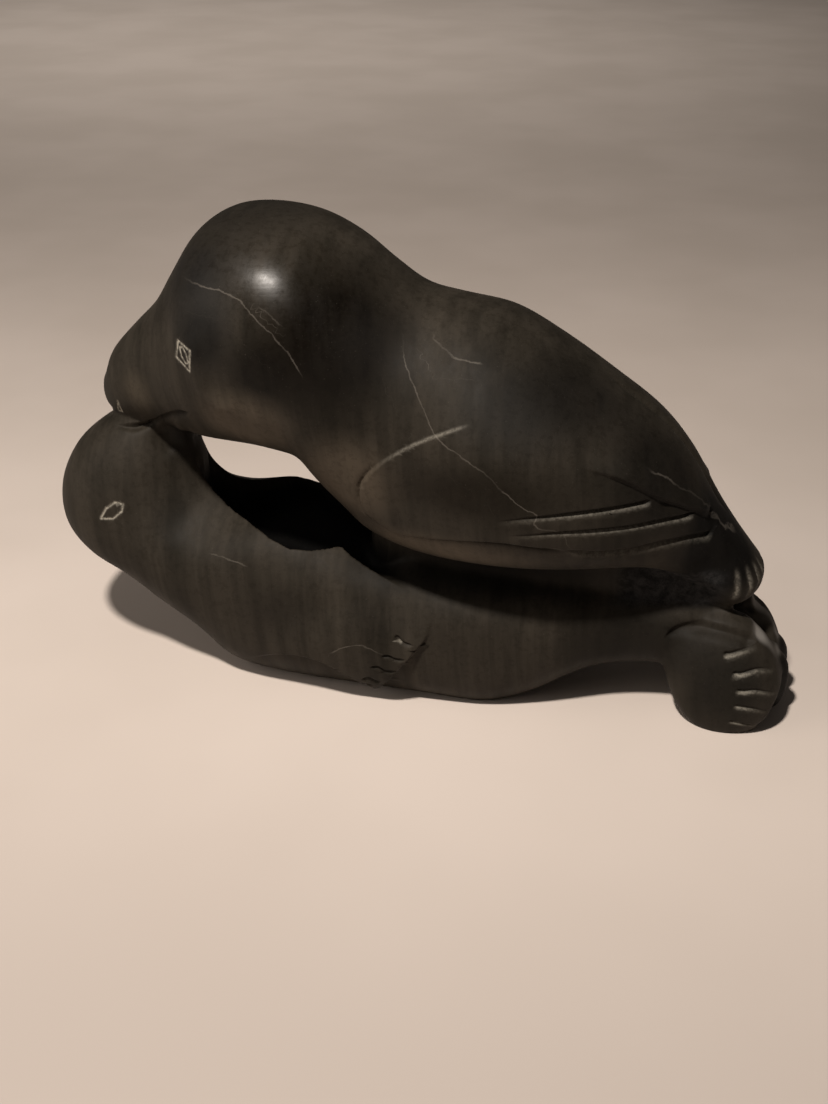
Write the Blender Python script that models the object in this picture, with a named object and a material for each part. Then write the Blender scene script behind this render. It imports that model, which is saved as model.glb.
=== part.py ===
"""Stone carving of two seals cut from one block.

The upper seal lies belly down on the lower seal, which lies on its back with its head thrown up.
Metres, +Z up, +X towards the tails, the carving is alike on both sides of the plane Y = 0.
The origin is the middle of the underside.
"""

import math

import bmesh
import bpy
import numpy as np
from mathutils import Matrix

# Driving dimensions
LENGTH = 0.310               # crown of the lower seal to the rim of its hind flippers

# The forms are drawn at a length of 311 units
DRAWN_LENGTH = 311.0
UNIT = LENGTH / DRAWN_LENGTH

# Fineness
RING_POINTS = 48             # points round a section
RINGS_PER_SPAN = 4           # sections between two stations
ROUTE_STEPS = 6              # steps of a carved line between two of its points
CAP_RINGS = 6                # sections in a rounded end
VOXEL = 1.3 * UNIT           # grid of the blended surface
BLEND_STEPS = 18             # smoothing that rounds the joins between the forms
TRIANGLE_BUDGET = 9700

NODE_NAME = "stone_seal_carving"

# Stations of a body, snout to tail, in units: x and z on the upper outline, x and z on the lower
# outline, half width, share of it left at the top, squareness above and below (2 is an ellipse)
UPPER_SEAL = [
    (-133.8, 124.5, -132.0, 107.5, 8.5, 1.0, 2.1, 2.1),
    (-129.2, 134.8, -123.0, 104.5, 14.5, 1.0, 2.1, 2.1),
    (-119.0, 145.8, -109.0, 104.5, 20.5, 1.0, 2.1, 2.1),
    (-107.8, 157.0, -97.5, 103.5, 27.0, 1.0, 2.1, 2.1),
    (-98, 171.7, -88, 102, 34.5, 1.0, 2.1, 2.1),
    (-88.3, 185.2, -77, 102, 41.0, 1.0, 2.1, 2.1),
    (-76, 192.8, -66, 102, 45.5, 1.0, 2.1, 2.1),
    (-61, 194.4, -56, 100.8, 47.5, 1.0, 2.1, 2.1),
    (-45, 192.0, -47, 98.2, 47.5, 1.0, 2.1, 2.1),
    (-30, 185.3, -40.5, 89.5, 46.0, 1.0, 2.1, 2.2),
    (-17, 175.8, -31, 80.5, 44.5, 1.0, 2.1, 2.4),
    (-4, 167.5, -20, 71.5, 44.5, 1.0, 2.1, 2.6),
    (11, 164.2, -3, 66.3, 46.0, 1.0, 2.1, 2.8),
    (30, 160.4, 16, 65, 48.5, 1.0, 2.1, 2.9),
    (49.6, 149.7, 38, 65, 48.0, 1.0, 2.1, 2.9),
    (69.4, 137, 58, 65.5, 43.5, 1.0, 2.1, 2.8),
    (88, 124.3, 76, 66, 36.5, 1.0, 2.1, 2.6),
    (101.5, 109.9, 90, 65, 29.0, 1.0, 2.1, 2.4),
    (113, 91.8, 100, 61, 22.5, 1.0, 2.1, 2.2),
    (122.5, 79, 108, 57, 18.0, 1.0, 2.1, 2.1),
    (132, 67.5, 115, 50, 16.0, 1.0, 2.1, 2.1),
]
UPPER_CAPS = (2.6, 9.0)

LOWER_SEAL = [
    (-105, 109, -129.5, 108, 12.0, 1.0, 2.1, 2.1),
    (-102, 102, -139.5, 102, 18.0, 0.6, 2.6, 2.1),
    (-97.5, 93, -151, 91.5, 24.0, 0.4, 3.2, 2.1),
    (-94.5, 85, -159, 75.5, 28.5, 0.33, 3.5, 2.1),
    (-89.5, 79, -159.3, 58, 31.0, 0.33, 3.6, 2.1),
    (-84, 75, -149.8, 44.8, 32.5, 0.38, 3.6, 2.1),
    (-76, 73, -134, 35.8, 34.0, 0.52, 3.6, 2.1),
    (-69, 73.5, -118, 25, 36.0, 0.68, 3.6, 2.2),
    (-61, 74, -100.8, 13.5, 37.0, 0.80, 3.6, 2.3),
    (-50, 72, -84, -0.5, 38.0, 0.84, 3.6, 2.4),
    (-37, 68.5, -60, -5, 38.0, 0.90, 3.4, 2.4),
    (-20, 63, -30, -6, 37.5, 0.95, 3.2, 2.4),
    (5, 57, 2, -6.5, 36.5, 1.0, 3.0, 2.4),
    (28, 55, 28, -8, 34.5, 1.0, 3.0, 2.4),
    (48, 54, 47, -1.5, 31.0, 1.0, 2.9, 2.2),
    (62, 54, 61, 7.5, 27.5, 1.0, 2.7, 2.1),
    (74, 54, 73, 13.5, 23.5, 1.0, 2.5, 2.1),
    (86, 54, 86, 16, 20.5, 1.0, 2.3, 2.1),
    (98, 54, 98, 16.5, 19.0, 1.0, 2.1, 2.1),
    (108, 53, 108, 15.5, 17.5, 1.0, 2.1, 2.1),
]
LOWER_CAPS = (6.0, 8.0)

# The upper seal's lower jaw, which meets the lower seal's throat
JAW = [
    (-91.5, 116, -103, 116, 11.0, 1.0, 2.1, 2.1),
    (-97, 107, -108.5, 105, 10.0, 1.0, 2.1, 2.1),
    (-99.5, 96, -112.5, 93, 9.0, 1.0, 2.1, 2.1),
]
JAW_CAPS = (6.0, 6.0)

# Stone left standing between the belly of the upper seal and the lower seal
CORE = [
    (-18, 78, -18, 48, 12.0, 1.0, 2.1, 2.1),
    (20, 74, 20, 46, 14.0, 1.0, 2.1, 2.1),
    (55, 73, 55, 45, 14.0, 1.0, 2.1, 2.1),
    (88, 73, 88, 45, 13.0, 1.0, 2.1, 2.1),
    (112, 63, 112, 43, 11.0, 1.0, 2.1, 2.1),
]
CORE_CAPS = (8.0, 8.0)

# Hind flippers of the lower seal: centre x, y and z, radii along x, y and z, degrees that the foot
# tilts outwards and the top leans back, and squareness
HIND_PALM = (123, 14.0, 20.8, 22.3, 14.0, 27.0, 14, 22, 2.2)
HIND_BLADE = (127.5, 6.0, 14.5, 24.0, 8.0, 19.0, 0, 0, 2.9)

# Hollow in the lower seal's throat: half width of its rim at each x, depth in the middle plane,
# and the x between which it deepens and dies out again
HOLLOW_RIM = [(-96, 6), (-90.3, 8.2), (-86.1, 9.6), (-75.7, 16.6), (-68.1, 22.7), (-61.2, 26.5), (-52.4, 28.2),
              (-44.1, 26.9), (-37.7, 24.3), (-32.8, 21), (-28, 23.5), (-18.5, 26), (-7.7, 28.3), (1.7, 30.3)]
HOLLOW_DEPTH = 13.0
HOLLOW_START = (-106, -92)
HOLLOW_END = (-24, 0)
HOLLOW_TOP = 88.0
HOLLOW_WALL = 4               # the higher, the steeper its wall under the rim
HOLLOW_FACING = 0.2          # it is cut where the stone faces up by at least this share

# Fore flipper of the upper seal: its edge from the shoulder round the front to the belly
WING_EDGE = [(22.7, 134.5), (11.7, 129.8), (1.1, 124.4), (-8.3, 117.7), (-13.2, 112.8), (-16.9, 107.7),
             (-18.6, 102.6), (-17.9, 95.5), (-14.6, 91), (-4.8, 86.1), (5.4, 86.4), (13.8, 87.7), (34.4, 89.9),
             (51.2, 88), (60.3, 86.2)]
WING_STEP = (-0.8, 1.0)      # distance across the edge from its foot to its full height
WING_RELIEF = 1.5
WING_FADE = 30.0             # distance over which the relief sinks back into the flank
WING_TAPER = 0.12            # share of the edge over which it dies out at both ends
# Long grooves between its digits: points, then width and depth, then the share of the line
# over which it dies out at both ends
DIGIT_GROOVES = [
    [(33.6, 99.4), (44.8, 101.5), (56.5, 102.7), (68.2, 103.7), (79.7, 104.6), (87.6, 105.1)],
    [(37.5, 93.8), (49.5, 95.1), (62.9, 95.3), (77.6, 95.8), (92.2, 96.7), (104.2, 95.8)],
    [(58.8, 86.9), (69.4, 84.6), (81.3, 85.1), (93.2, 87), (103.7, 87.4), (112.3, 85.6)],
]
DIGIT_GROOVE = (4.0, 1.6)
DIGIT_TAPER = 0.25
# Soft ridge above them and the hollow behind the tips
WING_RIDGE = [(59.9, 120.5), (68.8, 117.3), (78.6, 113), (90.5, 105.6), (97.4, 101.5), (104.5, 96.8), (111, 91.3)]
RIDGE_SIZE = (7.0, 0.9)
RIDGE_TAPER = 0.3
# Its middle x and z, radius and depth
TIP_HOLLOW = (113.5, 73.5, 7.5, 3.0)

# Fore flipper of the lower seal: crisp edge from the claws down and back along the belly,
# soft edge above, and the x between which it rises to its full relief
FLIPPER_EDGE = [(10, 50), (6.5, 40.5), (5.7, 36), (1.1, 29), (-4.7, 21.3), (-9.9, 13.6), (-15.5, 7.7),
                (-21.1, 10.3), (-28.5, 14.6), (-35.9, 19), (-44.6, 20.9), (-54.8, 19.7), (-64.5, 16), (-74.9, 9)]
FLIPPER_TOP = [(-75, 34), (-53.4, 37.9), (-44.6, 40.6), (-35, 43), (-21.8, 45.8), (-14.2, 43.1), (-6.7, 42.3),
               (6.4, 40.4), (14, 36)]
FLIPPER_CRISP = (-1.2, 1.2)
FLIPPER_SOFT = (-4.0, 16.0)
FLIPPER_RISE = (-76, -30)
FLIPPER_RELIEF = 3.6
CLAW_GROOVES = [
    [(-6.5, 36.4), (-5.1, 34.9), (-3.2, 33.5), (1.1, 32.4)],
    [(-12.2, 26.8), (-9.3, 27.3), (-6.5, 26.3), (-1.6, 26.2)],
    [(-17, 20.7), (-13.8, 21.5), (-10.5, 19.9), (-4.7, 20.5)],
    [(-20.9, 13.6), (-17.8, 15.1), (-14.8, 13.7), (-12.3, 14.4)],
]
CLAW_GROOVE = (2.4, 0.9)
CLAW_TAPER = 0.2

# Toes of the lower seal's hind flippers, grooves that run to the rim
HIND_TOES = [
    [(121.2, 36.3), (123.6, 36.3), (127.8, 37.6), (134.1, 39)],
    [(125.3, 29.4), (128.8, 29.4), (135.1, 30.8), (143, 29)],
    [(127.7, 22.8), (130.8, 22.3), (136.2, 22.5), (145.3, 19.2)],
    [(128, 16.1), (130.6, 15.5), (136.2, 14.5), (142.4, 11.6)],
    [(126.9, 8.1), (131.7, 7.1), (136.4, 5.6), (140.3, 5.4)],
]
TOE_GROOVE = (3.0, 1.5)
TOE_TAPER = 0.1
# Hollow under the rolled top edge of each hind flipper
PALM_ARC = [(98.5, 37), (103.5, 41.2), (111, 43), (120, 43.2), (128, 41.8), (134, 39.4)]
PALM_GROOVE = (5.0, 1.4)

# Toes of the upper seal's tail: degrees round the upright line at TAIL_AXIS, the heights between
# which the grooves deepen below and die out above, and the radii between which they deepen
TAIL_TOES = (11, 23, 36, 50)
TAIL_AXIS = 110.0
TAIL_TOE_FOOT = (55, 60)
TAIL_TOE_HEAD = (65, 71)
TAIL_TOE_RADII = (9, 12)
TAIL_TOE_GROOVE = (2.4, 1.2)

# Faces
MOUTH = [(-128.8, 105.1), (-122.9, 105.8), (-116.5, 106.8), (-110.3, 109.4), (-101.1, 116.5), (-94.2, 121.2),
         (-88.6, 123.6), (-85.8, 123.9)]
MOUTH_GROOVE = (3.0, 1.2)
MOUTH_TAPER = 0.1
UPPER_EYE = [(-86.3, 154.4), (-82.8, 153.8), (-79.5, 153), (-80, 149.2), (-80.8, 144.8), (-84.4, 146.3),
             (-87.8, 148), (-86.9, 151.3), (-86.3, 154.4)]
LOWER_EYE = [(-131.9, 70.6), (-129.1, 75.3), (-125.2, 78.2), (-121.8, 77.6), (-122.4, 74.7), (-126.2, 71.5),
             (-131.9, 70.6)]
EYE_LINE = (1.8, 0.7)

# Groove down the upper seal's back, in the middle plane: the x between which it deepens and dies out
BACK_GROOVE_START = (66, 76)
BACK_GROOVE_END = (108, 118)
BACK_GROOVE = (3.4, 1.8)
BACK_LOW = 70.0              # the back lies above this height

# Where the carving stops
SNOUT_CLEAR = 3.0            # cut lines on the flanks keep this far from the middle plane
FLANK_START = 12.0           # the fore flippers lie further out than this
WAIST = 64.0                 # height at which the upper seal's flanks meet the lower seal's
WING_FRONT = -40.0           # the upper seal's fore flipper lies behind this x
FLIPPER_FRONT = -80.0        # the lower seal's fore flipper lies behind this one

STONE_COLOUR = (0.020, 0.017, 0.013, 1)
STONE_ROUGHNESS = 0.5


def units(*values):
    """Turn drawn units into metres."""
    return [value * UNIT for value in values]


def catmull_rom(rows, per_span):
    """Smooth rows of numbers through every station, per_span steps between two of them."""
    table = np.array(rows, dtype=float)
    first = 2 * table[0] - table[1]
    last = 2 * table[-1] - table[-2]
    padded = np.vstack([first, table, last])
    smooth = []
    for span in range(len(table) - 1):
        before, start, end, after = padded[span:span + 4]
        for step in range(per_span):
            t = step / per_span
            smooth.append(0.5 * (2 * start + (end - before) * t
                                 + (2 * before - 5 * start + 4 * end - after) * t ** 2
                                 + (3 * start - before - 3 * end + after) * t ** 3))
    smooth.append(table[-1])
    return np.array(smooth)


def ring(station, shift, scale):
    """One closed section of a body, moved by shift and scaled about its middle."""
    top = station[:2]
    bottom = station[2:4]
    half_width, top_share, square_above, square_below = station[4:]
    middle = (top + bottom) / 2
    reach = (top - bottom) / 2
    points = []
    for index in range(RING_POINTS):
        angle = 2 * math.pi * index / RING_POINTS
        up, out = math.cos(angle), math.sin(angle)
        square = square_above if up > 0 else square_below
        lift = math.copysign(abs(up) ** (2 / square), up) * scale
        side = math.copysign(abs(out) ** (2 / square), out) * half_width * scale
        side *= 1 - (1 - top_share) * max(up, 0.0)
        x, z = middle + reach * lift + shift
        points.append((x, side, z))
    return points


def add_body(bm, stations, caps):
    """Loft one closed body through its stations, with rounded ends of the given lengths."""
    smooth = catmull_rom(stations, RINGS_PER_SPAN)
    sections = [(station, np.zeros(2), 1.0) for station in smooth]
    tips = []
    for end, cap in ((0, caps[0]), (-1, caps[1])):
        reach = smooth[end][:2] - smooth[end][2:4]
        outward = np.array((reach[1], -reach[0])) / np.linalg.norm(reach)
        if end == 0:
            outward = -outward
        for step in range(1, CAP_RINGS):
            angle = math.pi / 2 * step / CAP_RINGS
            section = (smooth[end], outward * cap * math.sin(angle), math.cos(angle))
            sections.insert(0 if end == 0 else len(sections), section)
        tips.append((smooth[end][:2] + smooth[end][2:4]) / 2 + outward * cap)

    rings = [[bm.verts.new(units(*point)) for point in ring(*section)] for section in sections]
    for one, two in zip(rings, rings[1:]):
        for index in range(RING_POINTS):
            after = (index + 1) % RING_POINTS
            bm.faces.new((one[index], one[after], two[after], two[index]))
    for tip, rim in zip(tips, (rings[0][::-1], rings[-1])):
        pole = bm.verts.new(units(tip[0], 0, tip[1]))
        for index in range(RING_POINTS):
            bm.faces.new((rim[index], rim[(index + 1) % RING_POINTS], pole))


def add_lobe(bm, lobe, side):
    """A rounded lobe on the near side (-1) or the far side (+1)."""
    x, y, z, along, across, up, tilt, lean, square = lobe
    ball = bmesh.ops.create_uvsphere(bm, u_segments=RING_POINTS, v_segments=RING_POINTS // 2, radius=1)
    for vert in ball["verts"]:
        vert.co /= sum(abs(part) ** square for part in vert.co) ** (1 / square)
    place = Matrix.Translation(units(x, side * y, z))
    foot_out = Matrix.Rotation(math.radians(side * tilt), 4, "X")
    top_back = Matrix.Rotation(math.radians(-lean), 4, "Y")
    size = Matrix.Diagonal(units(along, across, up) + [1])
    bmesh.ops.transform(bm, matrix=place @ foot_out @ top_back @ size, verts=ball["verts"])


def blended_mesh():
    """All forms as one skin, with the joins between them rounded."""
    bm = bmesh.new()
    add_body(bm, UPPER_SEAL, UPPER_CAPS)
    add_body(bm, LOWER_SEAL, LOWER_CAPS)
    add_body(bm, JAW, JAW_CAPS)
    add_body(bm, CORE, CORE_CAPS)
    for side in (-1, 1):
        add_lobe(bm, HIND_PALM, side)
        add_lobe(bm, HIND_BLADE, side)
    bmesh.ops.recalc_face_normals(bm, faces=bm.faces)
    forms = bpy.data.meshes.new("forms")
    bm.to_mesh(forms)
    bm.free()

    carving = bpy.data.objects.new("forms", forms)
    bpy.context.scene.collection.objects.link(carving)
    remesh = carving.modifiers.new("One skin", "REMESH")
    remesh.mode = "VOXEL"
    remesh.voxel_size = VOXEL
    smooth = carving.modifiers.new("Rounded joins", "SMOOTH")
    smooth.factor = 0.5
    smooth.iterations = BLEND_STEPS
    return applied(carving)


def applied(carving):
    """The object's mesh with its modifiers applied; the object itself is removed."""
    depsgraph = bpy.context.evaluated_depsgraph_get()
    mesh = bpy.data.meshes.new_from_object(carving.evaluated_get(depsgraph))
    bpy.data.objects.remove(carving)
    return mesh


def ease(values, start, end):
    """0 before start, 1 after end, smooth between them."""
    t = np.clip((values - start) / (end - start), 0, 1)
    return t * t * (3 - 2 * t)


def measured(places, route):
    """Distance of each place from a route, the share of the route passed there, and the side."""
    best = np.full(len(places), np.inf)
    share = np.zeros(len(places))
    side = np.ones(len(places))
    spans = np.diff(route, axis=0)
    lengths = np.hypot(spans[:, 0], spans[:, 1])
    passed = 0.0
    for start, span, length in zip(route, spans, lengths):
        offset = places - start
        t = np.clip(offset @ span / length ** 2, 0, 1)
        miss = offset - t[:, None] * span
        distance = np.hypot(miss[:, 0], miss[:, 1])
        nearer = distance < best
        best[nearer] = distance[nearer]
        share[nearer] = (passed + t[nearer] * length) / lengths.sum()
        side[nearer] = np.sign(span[0] * offset[nearer, 1] - span[1] * offset[nearer, 0])
        passed += length
    return best, share, side


def ends(share, taper):
    """1 along a route, falling to 0 over the taper at both of its ends."""
    return ease(share, 0, taper) * ease(1 - share, 0, taper)


def groove(distance, size):
    """Height of a rounded groove of the given width and depth."""
    width, depth = size
    return -depth * np.exp(-(2 * distance / width) ** 2)


def line_cuts(places):
    """Height of the carved lines on the flanks, at x and z places."""
    open_lines = [(route, DIGIT_GROOVE, DIGIT_TAPER) for route in DIGIT_GROOVES]
    open_lines += [(route, CLAW_GROOVE, CLAW_TAPER) for route in CLAW_GROOVES]
    open_lines += [(route, TOE_GROOVE, TOE_TAPER) for route in HIND_TOES]
    open_lines += [(MOUTH, MOUTH_GROOVE, MOUTH_TAPER), (PALM_ARC, PALM_GROOVE, TOE_TAPER)]
    height = np.zeros(len(places))
    for route, size, taper in open_lines:
        distance, share, _ = measured(places, catmull_rom(route, ROUTE_STEPS))
        height += groove(distance, size) * ends(share, taper)
    for outline in (UPPER_EYE, LOWER_EYE):
        distance, _, _ = measured(places, np.array(outline))
        height += groove(distance, EYE_LINE)
    return height


def wing_height(places):
    """Height of the upper seal's fore flipper: highest just inside its edge."""
    distance, share, side = measured(places, catmull_rom(WING_EDGE, ROUTE_STEPS))
    inside = distance * side
    step = ease(inside, *WING_STEP) * np.exp(-np.maximum(inside, 0) / WING_FADE)
    height = WING_RELIEF * step * ends(share, WING_TAPER)
    distance, share, _ = measured(places, catmull_rom(WING_RIDGE, ROUTE_STEPS))
    height -= groove(distance, RIDGE_SIZE) * ends(share, RIDGE_TAPER)
    x, z, radius, depth = TIP_HOLLOW
    distance = np.hypot(places[:, 0] - x, places[:, 1] - z)
    return height + groove(distance, (2 * radius, depth))


def flipper_height(places):
    """Height of the lower seal's fore flipper: it rises towards its claws."""
    distance, _, side = measured(places, catmull_rom(FLIPPER_EDGE, ROUTE_STEPS))
    inside = ease(-distance * side, *FLIPPER_CRISP)
    distance, _, side = measured(places, catmull_rom(FLIPPER_TOP, ROUTE_STEPS))
    inside *= ease(-distance * side, *FLIPPER_SOFT)
    return FLIPPER_RELIEF * inside * ease(places[:, 0], *FLIPPER_RISE)


def tail_toe_height(points):
    """Height of the toe grooves round the end of the upper seal's tail."""
    x, y, z = points.T
    radius = np.hypot(x - TAIL_AXIS, y)
    angle = np.degrees(np.arctan2(abs(y), x - TAIL_AXIS))
    reach = ease(z, *TAIL_TOE_FOOT) * (1 - ease(z, *TAIL_TOE_HEAD)) * ease(radius, *TAIL_TOE_RADII)
    height = np.zeros(len(points))
    for toe in TAIL_TOES:
        height += groove(radius * np.radians(angle - toe), TAIL_TOE_GROOVE) * reach
    return height


def carve(mesh):
    """Cut the faces, flippers, toes and hollows into the blended surface."""
    count = len(mesh.vertices)
    points = np.empty(3 * count)
    normals = np.empty(3 * count)
    mesh.vertices.foreach_get("co", points)
    mesh.vertices.foreach_get("normal", normals)
    points = points.reshape(-1, 3) / UNIT
    normals = normals.reshape(-1, 3)
    x, y, z = points.T
    flank = points[:, [0, 2]]
    away = abs(y)

    height = np.where(away > SNOUT_CLEAR, line_cuts(flank), 0)
    outer = (away > FLANK_START) & (y * normals[:, 1] > 0)
    height += np.where(outer & (x > WING_FRONT) & (z > WAIST), wing_height(flank), 0)
    height += np.where(outer & (x > FLIPPER_FRONT) & (z < WAIST), flipper_height(flank), 0)
    height += tail_toe_height(points)
    on_back = (normals[:, 2] > 0) & (z > BACK_LOW)
    reach = ease(x, *BACK_GROOVE_START) * (1 - ease(x, *BACK_GROOVE_END))
    height += np.where(on_back, groove(y, BACK_GROOVE) * reach, 0)
    moved = points + normals * height[:, None]

    rim = np.interp(x, *np.array(HOLLOW_RIM, dtype=float).T)
    depth = HOLLOW_DEPTH * ease(x, *HOLLOW_START) * (1 - ease(x, *HOLLOW_END))
    floor = (normals[:, 2] > HOLLOW_FACING) & (z < HOLLOW_TOP) & (away < rim)
    moved[:, 2] -= np.where(floor, depth * (1 - (away / rim) ** HOLLOW_WALL), 0)

    mesh.vertices.foreach_set("co", (moved * UNIT).ravel())
    mesh.update()


def thinned(mesh):
    """The mesh with few, large triangles where it is smooth and small ones at the carving."""
    carving = bpy.data.objects.new("thinned", mesh)
    bpy.context.scene.collection.objects.link(carving)
    triangles = sum(len(face.vertices) - 2 for face in mesh.polygons)
    decimate = carving.modifiers.new("Fewer triangles", "DECIMATE")
    decimate.ratio = TRIANGLE_BUDGET / triangles
    decimate.use_collapse_triangulate = True
    return applied(carving)


def flat_base(mesh):
    """Cut the underside off flat at Z = 0 and set the middle of the carving on the origin."""
    bm = bmesh.new()
    bm.from_mesh(mesh)
    cut = bmesh.ops.bisect_plane(bm, geom=bm.verts[:] + bm.edges[:] + bm.faces[:],
                                 plane_co=(0, 0, 0), plane_no=(0, 0, -1), clear_outer=True)
    rim = [item for item in cut["geom_cut"] if isinstance(item, bmesh.types.BMEdge)]
    bmesh.ops.contextual_create(bm, geom=rim)
    bmesh.ops.triangulate(bm, faces=bm.faces)
    corners = np.array([vert.co for vert in bm.verts])
    middle = (corners.min(axis=0) + corners.max(axis=0)) / 2
    bmesh.ops.translate(bm, vec=(-middle[0], -middle[1], 0), verts=bm.verts)
    bm.to_mesh(mesh)
    bm.free()


def stone():
    material = bpy.data.materials.new("dark_polished_stone")
    material.use_nodes = True
    shader = material.node_tree.nodes["Principled BSDF"]
    shader.inputs["Base Color"].default_value = STONE_COLOUR
    shader.inputs["Roughness"].default_value = STONE_ROUGHNESS
    shader.inputs["Metallic"].default_value = 0.0
    return material


def build():
    for old in list(bpy.data.objects):
        bpy.data.objects.remove(old)
    mesh = blended_mesh()
    carve(mesh)
    mesh = thinned(mesh)
    flat_base(mesh)
    mesh.name = NODE_NAME
    mesh.materials.clear()
    mesh.materials.append(stone())
    mesh.shade_smooth()
    carving = bpy.data.objects.new(NODE_NAME, mesh)
    bpy.context.scene.collection.objects.link(carving)


build()
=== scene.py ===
"""The stone seal carving as it looks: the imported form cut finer, in dark polished stone."""

import math

import bmesh
import bpy
import numpy as np
from mathutils import Matrix, Vector


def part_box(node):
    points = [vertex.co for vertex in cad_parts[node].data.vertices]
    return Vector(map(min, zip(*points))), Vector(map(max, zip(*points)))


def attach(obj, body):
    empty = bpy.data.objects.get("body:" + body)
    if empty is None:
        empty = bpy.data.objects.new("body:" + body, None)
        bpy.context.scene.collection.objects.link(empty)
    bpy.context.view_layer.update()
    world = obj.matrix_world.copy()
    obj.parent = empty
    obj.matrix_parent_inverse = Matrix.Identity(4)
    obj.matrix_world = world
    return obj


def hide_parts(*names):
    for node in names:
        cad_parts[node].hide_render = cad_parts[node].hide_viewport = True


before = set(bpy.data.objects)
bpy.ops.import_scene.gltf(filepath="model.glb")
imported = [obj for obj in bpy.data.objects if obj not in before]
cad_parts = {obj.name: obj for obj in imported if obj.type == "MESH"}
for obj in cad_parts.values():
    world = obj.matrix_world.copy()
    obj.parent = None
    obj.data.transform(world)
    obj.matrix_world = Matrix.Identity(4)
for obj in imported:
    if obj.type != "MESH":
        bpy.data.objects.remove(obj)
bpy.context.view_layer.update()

NODE = "stone_seal_carving"

# Form, in drawn units of about a millimetre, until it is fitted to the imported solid's box

# Points round a body, rings from one station to the next and in a cap, and steps of a line from
# one of its points to the next
RING_POINTS = 64
RINGS_PER_SPAN = 6
CAP_RINGS = 8
ROUTE_STEPS = 8
# Grid that makes the bodies one skin, rounding of the joins, share of the triangles kept
VOXEL = 1.55
BLEND_STEPS = 13
BLEND_SHARE = 0.5
KEPT_SHARE = 0.66

# x and z on the upper outline, x and z on the lower, half width, share of it at the top,
# squareness above and below
UPPER_SEAL = [
    (-133.8, 124.5, -132.0, 107.5, 8.5, 1.0, 2.1, 2.1),
    (-129.2, 134.8, -123.0, 104.5, 14.5, 1.0, 2.1, 2.1),
    (-119.0, 145.8, -109.0, 104.5, 20.5, 1.0, 2.1, 2.1),
    (-107.8, 157.0, -97.5, 103.5, 27.0, 1.0, 2.1, 2.1),
    (-98, 171.7, -88, 102, 34.5, 1.0, 2.1, 2.1),
    (-88.3, 185.2, -77, 102, 41.0, 1.0, 2.1, 2.1),
    (-76, 192.8, -66, 102, 45.5, 1.0, 2.1, 2.1),
    (-61, 194.4, -56, 100.8, 47.5, 1.0, 2.1, 2.1),
    (-45, 192.0, -47, 98.2, 47.5, 1.0, 2.1, 2.1),
    (-30, 185.3, -40.5, 89.5, 46.0, 1.0, 2.1, 2.2),
    (-17, 175.8, -31, 80.5, 44.5, 1.0, 2.1, 2.4),
    (-4, 167.5, -20, 71.5, 44.5, 1.0, 2.1, 2.6),
    (11, 164.2, -3, 66.3, 46.0, 1.0, 2.1, 2.8),
    (30, 160.4, 16, 65, 48.5, 1.0, 2.1, 2.9),
    (49.6, 149.7, 38, 65, 48.0, 1.0, 2.1, 2.9),
    (69.4, 137, 58, 65.5, 43.5, 1.0, 2.1, 2.8),
    (88, 124.3, 76, 66, 36.5, 1.0, 2.1, 2.6),
    (101.5, 109.9, 90, 65, 29.0, 1.0, 2.1, 2.4),
    (113, 91.8, 100, 61, 22.5, 1.0, 2.1, 2.2),
    (122.5, 79, 108, 57, 18.0, 1.0, 2.1, 2.1),
    (132, 67.5, 115, 50, 16.0, 1.0, 2.1, 2.1),
]
UPPER_CAPS = (2.6, 9.0)
LOWER_SEAL = [
    (-105, 109, -129.5, 108, 12.0, 1.0, 2.1, 2.1),
    (-102, 102, -139.5, 102, 18.0, 0.6, 2.6, 2.1),
    (-97.5, 93, -151, 91.5, 24.0, 0.4, 3.2, 2.1),
    (-94.5, 85, -159, 75.5, 28.5, 0.33, 3.5, 2.1),
    (-89.5, 79, -159.3, 58, 31.0, 0.33, 3.6, 2.1),
    (-84, 75, -149.8, 44.8, 32.5, 0.38, 3.6, 2.1),
    (-76, 73, -134, 35.8, 34.0, 0.52, 3.6, 2.1),
    (-69, 73.5, -118, 25, 36.0, 0.68, 3.6, 2.2),
    (-61, 74, -100.8, 13.5, 37.0, 0.80, 3.6, 2.3),
    (-50, 72, -84, -0.5, 38.0, 0.84, 3.6, 2.4),
    (-37, 68.5, -60, -5, 38.0, 0.90, 3.4, 2.4),
    (-20, 63, -30, -6, 37.5, 0.95, 3.2, 2.4),
    (5, 57, 2, -6.5, 36.5, 1.0, 3.0, 2.4),
    (28, 55, 28, -8, 34.5, 1.0, 3.0, 2.4),
    (48, 54, 47, -1.5, 31.0, 1.0, 2.9, 2.2),
    (62, 54, 61, 7.5, 27.5, 1.0, 2.7, 2.1),
    (74, 54, 73, 13.5, 23.5, 1.0, 2.5, 2.1),
    (86, 54, 86, 16, 20.5, 1.0, 2.3, 2.1),
    (98, 54, 98, 16.5, 19.0, 1.0, 2.1, 2.1),
    (108, 53, 108, 15.5, 17.5, 1.0, 2.1, 2.1),
]
LOWER_CAPS = (6.0, 8.0)
JAW = [
    (-91.5, 116, -103, 116, 11.0, 1.0, 2.1, 2.1),
    (-97, 107, -108.5, 105, 10.0, 1.0, 2.1, 2.1),
    (-99.5, 96, -112.5, 93, 9.0, 1.0, 2.1, 2.1),
]
JAW_CAPS = (6.0, 6.0)
CORE = [
    (-18, 78, -18, 48, 12.0, 1.0, 2.1, 2.1),
    (20, 74, 20, 46, 14.0, 1.0, 2.1, 2.1),
    (55, 73, 55, 45, 14.0, 1.0, 2.1, 2.1),
    (88, 73, 88, 45, 13.0, 1.0, 2.1, 2.1),
    (112, 63, 112, 43, 11.0, 1.0, 2.1, 2.1),
]
CORE_CAPS = (8.0, 8.0)

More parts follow.
